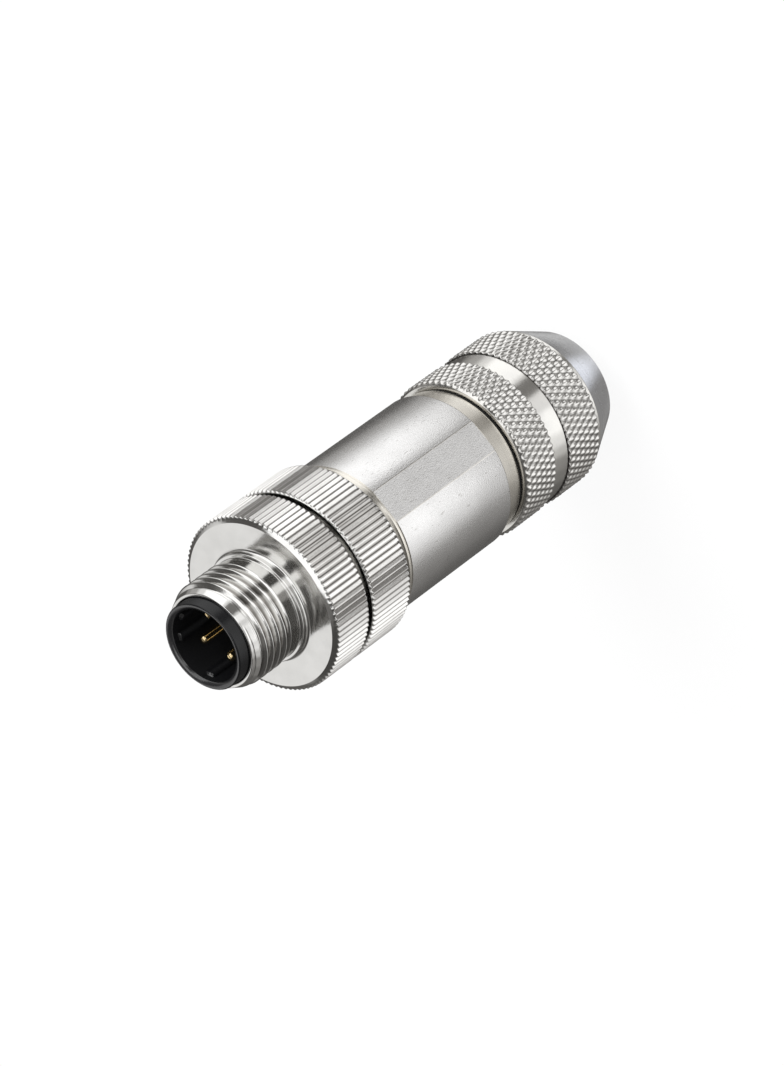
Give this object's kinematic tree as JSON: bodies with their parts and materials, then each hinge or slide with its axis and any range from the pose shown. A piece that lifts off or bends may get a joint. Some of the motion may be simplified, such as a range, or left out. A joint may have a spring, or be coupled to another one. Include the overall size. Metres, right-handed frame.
{
  "type": "circular connector",
  "caption": "Straight circular connector with screw coupling, male contacts in a moulded cup, knurled rings, satin housing with spanner flats and a knurled cable clamp nut.",
  "frame": {"origin": "centre of the clamp nut's end face, where the cable goes in", "axes": "+Z along the connector's axis towards the mating end, +X through the coding key, +Y completes a right-handed frame"},
  "size_m": [0.02, 0.02, 0.0604],
  "materials": {
    "plated_ring": "bright nickel plating on turned brass",
    "satin_housing": "satin nickel plating, finely ground round the barrel",
    "plated_nut": "nickel plating on knurled brass",
    "plated_inner": "nickel plating",
    "gold_contact": "gold plating",
    "insert_plastic": "moulded, lightly satin",
    "liner_plastic": "moulded, natural",
    "cage_plastic": "moulded, matt",
    "seal_rubber": "moulded rubber",
    "cable_rubber": "moulded rubber",
    "spring_steel": "rolled spring steel",
    "screw_steel": "turned steel"
  },
  "bodies": {
    "holder": {"insert_holder": "plated_ring", "contact_insert": "insert_plastic", "pin_1": "gold_contact", "pin_3": "gold_contact", "pin_4": "gold_contact", "terminal_screws": "screw_steel", "insert_seal": "seal_rubber", "insert_lock_ring": "plated_inner", "retaining_ring": "spring_steel", "housing_seal": "seal_rubber"},
    "coupling": {"coupling_screw": "plated_ring"},
    "liner": {"insulating_sleeve": "liner_plastic"},
    "housing": {"housing": "satin_housing", "shield_ring": "plated_inner", "shield_spring": "spring_steel", "nut_seal": "seal_rubber"},
    "clamp": {"clamping_cage": "cage_plastic", "cable_seal": "cable_rubber", "pressure_washer": "cage_plastic"},
    "nut": {"clamp_nut": "plated_nut"}
  },
  "joints": [
    {"name": "coupling_turn", "type": "hinge", "parent": "holder", "child": "coupling", "pos_m": [0, 0, 0.0485], "axis": [0, 0, 1], "continuous": true},
    {"name": "housing_travel", "type": "slide", "parent": "holder", "child": "liner", "axis": [0, 0, -1], "range_m": [0, 0.005]},
    {"name": "housing_turn", "type": "hinge", "parent": "liner", "child": "housing", "pos_m": [0, 0, 0.0355], "axis": [0, 0, -1], "range_deg": [0, 1800]},
    {"name": "nut_travel", "type": "slide", "parent": "housing", "child": "clamp", "axis": [0, 0, -1], "range_m": [0, 0.007]},
    {"name": "nut_turn", "type": "hinge", "parent": "clamp", "child": "nut", "pos_m": [0, 0, 0.0135], "axis": [0, 0, -1], "range_deg": [0, 2520]}
  ],
  "couplings": [
    {"joint": "housing_travel", "follows": "housing_turn", "m_per_rad": 0.00015915},
    {"joint": "nut_travel", "follows": "nut_turn", "m_per_rad": 0.00015915}
  ]
}
